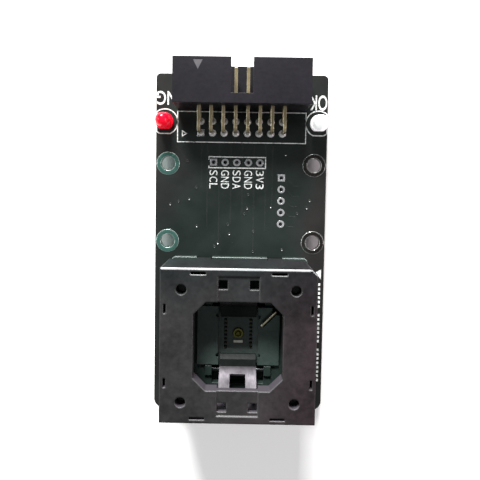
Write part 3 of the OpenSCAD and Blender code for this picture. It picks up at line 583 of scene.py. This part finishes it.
# painted highlight: pale yellow painted on the centre contact's edges
centreGold = platedFinish("centreGold", (0.09, 0.085, 0.012), (0.22, 0.20, 0.035), 0.16, rounding=0.22,
                          metallic=0.7, edge=(1.0, 0.96, 0.45))
biasGold = platedFinish("biasGold", (0.62, 0.53, 0.36), (0.88, 0.80, 0.62), 0.24)
bladeMetal = platedFinish("bladeMetal", (0.60, 0.57, 0.50), (0.84, 0.81, 0.74), 0.36)
brightSolder = platedFinish("brightSolder", (0.60, 0.61, 0.63), (0.88, 0.89, 0.91), 0.2, perMetre=420,
                            grain=0.0, metallic=0.55)
# painted light: a lifted, near-white copy of the solder that makes up for the header's shadow on the joints
jointSolderPaintedLight = platedFinish("jointSolderPaintedLight", (0.80, 0.80, 0.81), (1.0, 1.0, 1.0), 0.16, perMetre=420, grain=0.0,
                           metallic=0.35, rounding=0.0)
padTin = platedFinish("padTin", (0.34, 0.35, 0.36), (0.58, 0.59, 0.61), 0.26, perMetre=420, grain=0.0,
                      metallic=0.55)
ringTin = ringFinish("ringTin")
leadTin = platedFinish("leadTin", (0.44, 0.44, 0.46), (0.68, 0.68, 0.70), 0.28)
springWire = platedFinish("springWire", (0.30, 0.30, 0.32), (0.54, 0.54, 0.57), 0.3)
pinSteel = platedFinish("pinSteel", (0.035, 0.04, 0.042), (0.085, 0.092, 0.095), 0.4)
leverFoot = boardTop + 9.9
leverSteelOuter = brushedFinish("leverSteelOuter", (0.088, 0.080, 0.092), (0.160, 0.148, 0.168), 0.40,
                                leverFoot)
# painted shade: the inner lever is a darkened copy of the lever steel, as it lies out of the light
leverSteelPaintedShade = brushedFinish("leverSteelPaintedShade", (0.030, 0.029, 0.031), (0.07, 0.066, 0.072), 0.42,
                                leverFoot)
# painted glow on both lenses
redEpoxy = epoxyFinish("redEpoxy", (0.76, 0.0005, 0.010), (0.90, 0.004, 0.028), 0.42)
clearEpoxy = epoxyFinish("clearEpoxy", (0.90, 0.90, 0.91), (0.97, 0.97, 0.98), 0.50)
print("finishes made")

cadFinishes = {
    "circuit_board": boardMask, "header_housing": headerPlastic, "header_pins_upper": pinGold,
    "header_pins_lower": pinGold, "header_solder": brightSolder, "red_led_leads": leadTin,
    "clear_led_leads": leadTin, "led_solder": brightSolder, "socket_base": basePlastic,
    "lead_stopper": guidePlastic, "contact_guide": guidePlastic, "package_nest": nestPlasticPaintedLift,
    "signal_contacts_left": contactGoldPaintedShade, "signal_contacts_right": contactGoldPaintedShade, "centre_contact": centreGold,
    "ground_blade": bladeMetal, "socket_solder": brightSolder, "socket_cover": coverPlastic,
    "latch_lever_inner": leverSteelPaintedShade, "latch_nose_inner": nosePlastic, "latch_pin_inner": pinSteel,
    "latch_lever_outer": leverSteelOuter, "latch_nose_outer": nosePlastic, "latch_pin_outer": pinSteel,
    "bias_wire": biasGold, "red_led_lens": redEpoxy, "clear_led_lens": clearEpoxy,
}
for nodeName, finishMade in cadFinishes.items():
    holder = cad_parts[nodeName]
    for index in range(len(holder.material_slots)):
        holder.material_slots[index].material = finishMade
print("frame's own solids finished")


ringLook = {"thick": 0.05, "barrel": 0.035, "lip": 0.025}


# A plated hole: a flat ring with rounded lips on both faces, joined by a lining down the hole
def platedHole(holeRadius, ringRadius, square=False):
    t, lip, inner = ringLook["thick"], ringLook["lip"], holeRadius - ringLook["barrel"]
    top, under = boardTop, boardUnder
    profile = np.concatenate([
        [[ringRadius, top]], arc(ringRadius - lip, top + t - lip, lip, 0, 90, 5),
        arc(inner + lip, top + t - lip, lip, 90, 180, 5),
        arc(inner + lip, under - t + lip, lip, 180, 270, 5),
        arc(ringRadius - lip, under - t + lip, lip, 270, 360, 5), [[ringRadius, under]],
        [[holeRadius, under]], [[holeRadius, top]]])
    points, faces = turned(profile, 48, closed=True)
    if square:
        flat = points[:, :2]
        radius = np.linalg.norm(flat, axis=1)
        bigger = np.abs(flat).max(1)
        outside = radius > (holeRadius + ringRadius) / 2
        flat[outside] *= (radius / bigger * 0.94)[outside, None]
    return points, faces


screwPlaces = [(sx * screwHoles["acrossX"] / 2, sy * screwHoles["alongY"] / 2)
               for sx in (-1, 1) for sy in (-1, 1)]
addPiece("screwRings", copiesOf(platedHole(screwHoles["radius"], screwHoles["ringRadius"]), screwPlaces),
         "board", ringTin)

stripPlaces = [(stripHoles["x"] + s, stripHoles["y"]) for s in stripSteps]
sidePlaces = [(stripHoles["sideX"], stripHoles["sideY"] + s) for s in stripSteps]
roundPad = platedHole(stripHoles["radius"], stripHoles["ringRadius"])
squarePad = platedHole(stripHoles["radius"], stripHoles["ringRadius"], square=True)
addPiece("stripPads", joined([copiesOf(roundPad, stripPlaces[1:] + sidePlaces[:-1]),
                              copiesOf(squarePad, stripPlaces[:1] + sidePlaces[-1:])]),
         "board", padTin)


# Solder on the component side: a skirt that rises from the pad to the pin on a hollow curve
def solderSkirt(padRadius, pinHalf, rise):
    t = np.linspace(0, 1, 9)
    radius = pinHalf + (padRadius - pinHalf) * (1 - t) ** 2.2
    height = boardTop + ringLook["thick"] + rise * t ** 1.6 + 0.02
    profile = np.concatenate([[[padRadius, boardTop]], np.stack([radius, height], -1),
                              [[pinHalf * 0.6, boardTop + rise + 0.02]]])
    return turned(profile, 28)


headerPlaces = [(x, y) for y in (nearRow, farRow) for x in headerX]
firstPin = (headerX[0], farRow)
padLook = {"hole": 0.525, "ring": 0.82, "solder": 0.74, "firstSolder": 0.62, "pinHalf": 0.34, "rise": 0.42,
           "firstRise": 0.36}
otherPins = [p for p in headerPlaces if p != firstPin]
firstPad = platedHole(padLook["hole"], padLook["ring"], square=True)
addPiece("headerPads", joined([copiesOf(platedHole(padLook["hole"], padLook["ring"]), otherPins),
                               copiesOf(firstPad, [firstPin])]), "board", leadTin)
skirt = solderSkirt(padLook["solder"], padLook["pinHalf"], padLook["rise"])
firstSkirt = solderSkirt(padLook["firstSolder"], padLook["pinHalf"], padLook["firstRise"])
addPiece("headerSkirts", joined([copiesOf(skirt, otherPins), copiesOf(firstSkirt, [firstPin])]),
         "board", jointSolderPaintedLight, sharp=60)

# Small plated vias, filled over with mask: a low ring with a dimple, and on every other one a painted glint,
# a small pale solder dome standing in for a highlight
viaLook = {"foot": 0.34, "ring": 0.25, "rise": 0.08, "dimple": 0.10, "glint": 0.13, "glintLift": 0.045,
           "glintShift": (0.02, -0.12)}
viaPlaces = [(-15.5, -0.5), (-13.6, 0.2), (-11.3, 0.7), (-9.8, 3.3), (-9.6, -5.3), (-2.7, -4.7), (-2.4, -6.9),
             (0.9, -2.4), (1.5, -1.2), (1.7, 1.9), (6.7, -0.8), (2.9, -10.7), (-4.9, -9.0), (-5.6, -9.7),
             (14.6, -0.9), (12.5, -2.1), (15.2, 0.7), (-11.8, 9.1), (9.7, 10.7), (-10.4, 13.2), (9.3, -10.2),
             (2.9, -6.2)]
viaProfile = np.concatenate([[[viaLook["foot"], boardTop - 0.01]],
                             arc(viaLook["ring"], boardTop, viaLook["rise"], 20, 150, 7),
                             [[viaLook["dimple"], boardTop - 0.005], [0.0, boardTop - 0.008]]])
addPiece("filledVias", copiesOf(turned(viaProfile, 20), viaPlaces), "board", coveredCopper,
         sharp=80)
# painted glint: pale solder domes beside every other via
sparkProfile = arc(0.0, boardTop + viaLook["glintLift"], viaLook["glint"], 0, 90, 5)
addPiece("viaSparks", copiesOf(turned(sparkProfile, 12), np.array(viaPlaces[::2]) + viaLook["glintShift"]),
         "board", brightSolder, sharp=80)
print("pads and vias made")

trackLook = {"width": 0.26, "lampWidth": 0.3, "sunk": 0.005, "raise": 0.010, "straight": 0.9,
             "lanes": [-8.6, -7.35, -4.76, -2.22, 0.32, 2.86, 5.4, 6.9],
             "ends": [3.3, -5.3, -9.0, -4.7, -2.4, -10.7, -6.2, -0.8]}


# A covered track: straight from the pin, across at 45 degrees into its lane, and down the lane to its end
def laneTrack(start, lane, end):
    x, y = start
    slant = abs(lane - x)
    bend = y - trackLook["straight"]
    return [[x, y], [x, bend], [lane, bend - slant], [lane, end]]


trackLow, trackHigh = boardTop - trackLook["sunk"], boardTop + trackLook["raise"]
tracks = [ribbon(laneTrack((x, farRow), lane, end), trackLook["width"], trackLow, trackHigh)
          for x, lane, end in zip(headerX, trackLook["lanes"], trackLook["ends"])]
for k, (x, y) in enumerate(sidePlaces):
    slant = 0.6 + 0.3 * k
    path = [[x, y], [x + 1.0, y], [x + 1.0 + slant, y - slant], [x + 2.4 + slant, y - slant]]
    tracks.append(ribbon(path, trackLook["width"], trackLow, trackHigh))
lampTracks = [[[-15.6, 15.0], [-14.0, 12.0], [-12.6, 10.2], [-11.8, 9.1]],
              [[15.6, 15.2], [14.2, 12.6], [11.2, 11.4], [9.7, 10.7]]]
tracks += [ribbon(path, trackLook["lampWidth"], trackLow, trackHigh) for path in lampTracks]
addPiece("coveredTracks", joined(tracks), "board", coveredCopper)

inkLook = {"high": 0.028, "line": 0.19, "boxHalf": 14.0, "boxBelow": 4.55, "boxAbove": 0.45}
lampPrint = {"fromEnd": 10.45, "radius": 2.78, "flat": 2.55, "line": 0.24, "fromSide": 0.12}
pinMark = {"left": -12.95, "right": -12.05, "high": 0.35, "middle": -0.2, "low": -0.75, "line": 0.2}
stripFrame = {"left": -7.05, "right": 5.36, "above": 1.18, "below": 1.2, "gapHigh": 0.55, "gapLow": 0.75,
              "line": 0.22}
cornerMark = [[16.94, -15.04], [18.08, -16.63], [18.07, -14.39]]
dashLook = {"from": -17.5, "step": 0.98, "count": 23, "gaps": (6, 14), "left": 17.56, "right": 17.98,
            "long": 0.56}
inkLow, inkHigh = boardTop - 0.002, boardTop + inkLook["high"]


# Round outline of a lamp with its flat towards the socket, cut where the board ends
def lampOutline(x, y, radius, flat):
    lean = math.degrees(math.asin(flat / radius))
    a = np.radians(np.linspace(-lean, 180 + lean, 60))
    points = np.stack([x + radius * np.cos(a), y + radius * np.sin(a)], -1)
    edge = boardHigh[0] - lampPrint["fromSide"]
    points[:, 0] = np.clip(points[:, 0], -edge, edge)
    return points


redX = (redLow[0] + redHigh[0]) / 2
clearX = (clearLow[0] + clearHigh[0]) / 2
lampY = boardHigh[1] - lampPrint["fromEnd"]
printing = [
    ribbon(rectangle(-inkLook["boxHalf"], inkLook["boxHalf"], nearRow - inkLook["boxBelow"],
                     housingLow[1] - inkLook["boxAbove"]), inkLook["line"], inkLow, inkHigh, closed=True),
    ribbon([[pinMark["left"], farRow + pinMark["high"]], [pinMark["right"], farRow + pinMark["middle"]],
            [pinMark["left"], farRow + pinMark["low"]]], pinMark["line"], inkLow, inkHigh, closed=True),
]
printing += [ribbon(lampOutline(x, lampY, lampPrint["radius"], lampPrint["flat"]), lampPrint["line"], inkLow,
                    inkHigh, closed=True) for x in (redX, clearX)]
left, right, middle = stripFrame["left"], stripFrame["right"], stripHoles["y"]
above, below = middle + stripFrame["above"], middle - stripFrame["below"]
path = [[left, middle + stripFrame["gapHigh"]], [left, above], [right, above], [right, below], [left, below],
        [left, middle - stripFrame["gapLow"]]]
printing.append(ribbon(path, stripFrame["line"], inkLow, inkHigh))
printing.append(plate(cornerMark, inkLow, inkHigh))
dashes = [dashLook["from"] - dashLook["step"] * k for k in range(dashLook["count"])
          if k not in dashLook["gaps"]]
printing += [plate(rectangle(dashLook["left"], dashLook["right"], y - dashLook["long"], y), inkLow, inkHigh)
             for y in dashes]
addPiece("printing", joined(printing), "board", printedInk)

# Words of function: one at each lamp, and a name letter by letter under each hole of the strip
wordLook = {"lamps": (("OK", 3.85, 3.3, 16.62, 22.1), ("NG", 4.25, 3.0, -16.42, 22.7)), "bold": 0.01,
            "holes": ("SCL", "GND", "SDA", "GND", "3V3"), "wide": 1.15, "high": 1.75, "below": 2.3,
            "step": 1.44}
words = [lettering(word, wide, high, x, y, 180, inkHigh, wordLook["bold"])
         for word, wide, high, x, y in wordLook["lamps"]]
for name, s in zip(wordLook["holes"], stripSteps):
    for k, letter in enumerate(name):
        x, y = stripHoles["x"] + s, stripHoles["y"] - wordLook["below"] - wordLook["step"] * k
        words.append(lettering(letter, wordLook["wide"], wordLook["high"], x, y, -90, inkHigh))
addPiece("markings", joined(words), "board", printedInk, solid=False)

# The fill of the triangle sunk into the header's top
markLook = {"fromSide": 5.08, "back": 0.6, "half": 1.0, "long": 2.0, "deep": 0.19, "sunk": 0.03}
markX = housingLow[0] + markLook["fromSide"]
markBack = housingHigh[1] - markLook["back"]
triangle = [[markX, markBack - markLook["long"]], [markX + markLook["half"], markBack],
            [markX - markLook["half"], markBack]]
fill = plate(triangle, housingHigh[2] - markLook["deep"], housingHigh[2] - markLook["sunk"])
addPiece("headerTriangle", fill, "board", headerMark)
print("board dressed")


springLook = {"wire": 0.2, "turns": 7, "perTurn": 28, "dead": 0.45}


# Coil between two heights: a steady climb with one flat turn at each end
def coilPath(x, y, radius, low, high, turns, perTurn, dead):
    t = np.linspace(0, turns, turns * perTurn + 1)
    climb = np.clip((t - 1) / (turns - 2), 0, 1)
    lift = dead * np.minimum(t, 1) + dead * np.maximum(0, t - turns + 1)
    height = low + lift + (high - low - 2 * dead) * climb
    angle = 2 * math.pi * t
    return np.stack([x + radius * np.cos(angle), y + radius * np.sin(angle), height], -1)


for place in ("inner_left", "inner_right", "outer_left", "outer_right"):
    nodeName = "cover_spring_" + place
    low, high = nodeBox(nodeName)
    centre, radius = (low + high) / 2, (high[0] - low[0]) / 2 - springLook["wire"]
    path = coilPath(centre[0], centre[1], radius, low[2] + springLook["wire"], high[2] - springLook["wire"],
                    springLook["turns"], springLook["perTurn"], springLook["dead"])
    coil = addPiece("coverSpring_" + place, tube(path, springLook["wire"] * 0.97), "board", springWire)
    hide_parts(nodeName)
    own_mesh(coil)
print("cover springs made")

# Twisting springs: the coil and its lower arm stay on the board, the upper arm rides on the latch
twistLook = {"wire": 0.15, "turns": 4, "perTurn": 28, "gap": 0.15}
for side, place in ((1, "inner"), (-1, "outer")):
    nodeName = "latch_spring_" + place
    low, high = nodeBox(nodeName)
    pinLow, pinHigh = nodeBox("latch_pin_" + place)
    pinY, pinZ = (pinLow[1] + pinHigh[1]) / 2, (pinLow[2] + pinHigh[2]) / 2
    wire = twistLook["wire"]
    half = (high[0] - low[0]) / 2 - wire
    bore = (pinHigh[2] - pinLow[2]) / 2 + twistLook["gap"] + wire
    t = np.linspace(0, 1, twistLook["turns"] * twistLook["perTurn"] + 1)
    a = 2 * math.pi * twistLook["turns"] * t
    turns = np.stack([half * (2 * t - 1), -bore * np.cos(a), bore * np.sin(a)], -1)
    upArm = np.array([[-half, 0.74 - bore, 1.19], [-half, 0.37 - bore, 0.6], [-half, -bore, 0.2]])
    floorArm = low[2] + wire - pinZ
    downArm = np.array([[half, -bore, -0.6 * bore], [half, -0.55 * bore, 0.75 * floorArm],
                        [half, 0, floorArm], [half, 1.0, floorArm], [half, 1.9, floorArm]])
    overlap = twistLook["perTurn"] // 7
    coilPoints = np.concatenate([turns, downArm])
    armPoints = np.concatenate([upArm, turns[:overlap]])
    for part, body, path in (("coil", "board", coilPoints), ("arm", "latch_" + place, armPoints)):
        path[:, :2] *= side
        path += [socketX, pinY, pinZ]
        wound = addPiece("latchSpring_" + place + "_" + part, tube(path, wire * 0.95, 10, (1, 0.01, 0.02)),
                         body, springWire)
        if part == "coil":
            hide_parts(nodeName)
print("latch springs made")


# The cover's rounded upper edge at the header side: a pale glossy bead painted as a highlight along the edge
beadLook = {"radius": 0.26, "inset": 0.17, "ends": (0.25, 1.45), "steps": 60}
beadX = np.linspace(coverLow[0] + beadLook["ends"][0], coverHigh[0] - beadLook["ends"][1], beadLook["steps"])
beadY, beadZ = coverHigh[1:] - beadLook["inset"]
beadPath = np.stack([beadX, beadY + 0 * beadX, beadZ + 0 * beadX], -1)
addPiece("coverBead", tube(beadPath, beadLook["radius"], 20), "cover", beadPaintedHighlight)
print("cover edge made")


lampLook = {"flangeRadius": 1.9, "domeRadius": 1.5, "flangeHigh": 1.0, "round": 0.14, "flat": 0.3}


# Cast lamp: foot, rounded flange, straight barrel and a ball end, turned; the flange's flat is a clamp on y
def lampBody(x, y, low, high):
    look = lampLook
    r, rounding = look["domeRadius"], look["round"]
    flangeTop = low + look["flangeHigh"]
    profile = np.concatenate([
        [[0, low]], arc(look["flangeRadius"] - rounding, low + rounding, rounding, -90, 0, 6),
        arc(look["flangeRadius"] - rounding, flangeTop - rounding, rounding, 0, 90, 6),
        arc(r + 0.1, flangeTop + 0.1, 0.1, 270, 180, 5), arc(0, high - r, r, 0, 90, 22)])
    points, faces = turned(profile, 56)
    lowEnough = points[:, 2] < flangeTop + 0.02
    points[lowEnough, 1] = np.maximum(points[lowEnough, 1], look["flat"] - look["flangeRadius"])
    return points + [x, y, 0], faces


lamps = (("redLamp", redLow, redHigh, redX, redEpoxy, "red_lens"),
         ("clearLamp", clearLow, clearHigh, clearX, clearEpoxy, "clear_lens"))
for name, low, high, x, finishMade, slotName in lamps:
    lamp = addPiece(name, lampBody(x, lampY, low[2], high[2]), "board", finishMade, sharp=50)
    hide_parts("red_led_lens" if name == "redLamp" else "clear_led_lens")
print("lamps made")


# A pale floor that shines faintly away from the part, so that its far end doesn't grey
floorLook = {"half": 1.6, "drop": 0.02, "shine": 0.12, "shineFrom": 0.024, "shineFull": 0.036}
floorLevel = cadBox[0].z - floorLook["drop"] * mm
half = floorLook["half"]
floorMesh = bpy.data.meshes.new("floor")
floorMesh.from_pydata([(-half, -half, floorLevel), (half, -half, floorLevel), (half, half, floorLevel),
                       (-half, half, floorLevel)], [], [[0, 1, 2, 3]])
floorMaterial, floorTree, floorShader = newFinish("paleFloor", (0.95, 0.95, 0.95), 0.9,
                                                   Specular_IOR_Level=0.1,
                                                   Emission_Strength=floorLook["shine"])
away = floorTree.nodes.new("ShaderNodeVectorMath")
away.operation = "LENGTH"
floorTree.links.new(objectPlace(floorTree), away.inputs[0])
shining = ranged(floorTree, away.outputs["Value"], 0.0, 1.0, floorLook["shineFrom"], floorLook["shineFull"])
floorTree.links.new(coloured(floorTree, shining, [(0.0, (0, 0, 0)), (1.0, (1, 1, 1))]),
                    floorShader.inputs["Emission Color"])
floorMesh.materials.append(floorMaterial)
floor = bpy.data.objects.new("floor", floorMesh)
bpy.context.scene.collection.objects.link(floor)

lightLook = [
    # name, place, size, watts, colour: a key from the header end, a weak cool fill and a faint warm side
    ("keyLight", (-0.12, 0.74, 0.42), 0.30, 26.0, (1.0, 0.99, 0.97)),
    ("leftLight", (-0.70, 0.05, 0.40), 0.30, 3.0, (0.93, 0.99, 0.97)),
    ("sideLight", (0.70, -0.06, 0.34), 0.30, 2.6, (1.0, 0.84, 0.89)),
]
target = np.array([0.0, -0.01, 0.0])
for lightName, place, size, watts, colour in lightLook:
    light = bpy.data.lights.new(lightName, "AREA")
    light.size = size
    light.energy = watts
    light.color = colour
    holder = bpy.data.objects.new(lightName, light)
    reach = np.array(place) - target
    turn = math.atan2(reach[0], -reach[1])
    tip = math.acos(reach[2] / np.linalg.norm(reach))
    holder.rotation_euler = (tip, 0, turn)
    holder.location = place
    bpy.context.scene.collection.objects.link(holder)

world = bpy.data.worlds.new("studio")
world.use_nodes = True
world.node_tree.nodes["Background"].inputs["Color"].default_value = (0.90, 0.95, 0.95, 1)
world.node_tree.nodes["Background"].inputs["Strength"].default_value = 0.2
bpy.context.scene.world = world
bpy.context.scene.view_settings.view_transform = "Standard"

cameraLook = {"place": (0.00034, 0.00363, 0.10590), "turn": (0.0491, 0.0044, 0.0163), "lens": 35.55,
              "shiftY": -0.0625}
camera = bpy.data.objects.new("camera", bpy.data.cameras.new("camera"))
camera.data.sensor_width = 36
camera.data.lens = cameraLook["lens"]
camera.data.shift_y = cameraLook["shiftY"]
camera.data.clip_start = 0.002
# The small turn is a rotation vector in the camera's own sense: x right, y down, z forward
axis = np.array(cameraLook["turn"])
spin = Matrix.Rotation(np.linalg.norm(axis), 3, axis / np.linalg.norm(axis))
downwards = Matrix(((1, 0, 0), (0, -1, 0), (0, 0, -1)))
upright = (downwards @ spin @ downwards).transposed().to_4x4()
camera.matrix_world = Matrix.Translation(cameraLook["place"]) @ upright
bpy.context.scene.collection.objects.link(camera)
bpy.context.scene.camera = camera
print("stage set")
